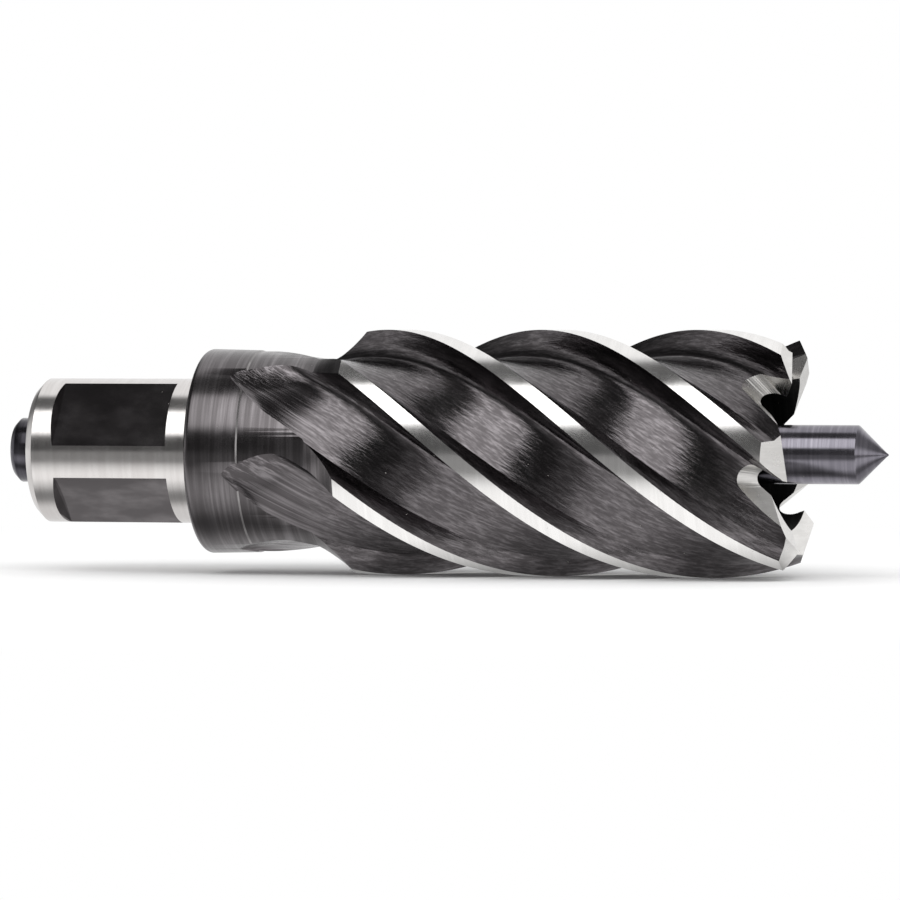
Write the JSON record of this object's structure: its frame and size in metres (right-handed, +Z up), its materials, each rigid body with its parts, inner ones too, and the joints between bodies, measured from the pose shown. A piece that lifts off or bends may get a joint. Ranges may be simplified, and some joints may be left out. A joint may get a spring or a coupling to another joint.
{
  "type": "annular cutter",
  "caption": "Hollow core cutter with a two-flat Weldon-style shank, helical flutes, gulleted teeth round an open core, and a pilot pin that slides back through it.",
  "frame": {"origin": "middle of the part's length, under its axis, on the surface that it lies on", "axes": "+X along the cutter's axis from the shank to the teeth, +Z up; the axis is one cutting radius above the origin"},
  "size_m": [0.117, 0.032, 0.032],
  "materials": {
    "cutter_steel": "black oxide in the flutes, collar and flats, bright ground on the shank, lands and tooth ends",
    "pin_steel": "blue-black, smooth turned"
  },
  "bodies": {
    "cutter": {"cutter_body": "cutter_steel"},
    "pin": {"pilot_pin": "pin_steel"}
  },
  "joints": [
    {"name": "pin_slide", "type": "slide", "parent": "cutter", "child": "pin", "axis": [-1, 0, 0], "range_m": [0, 0.061]}
  ]
}
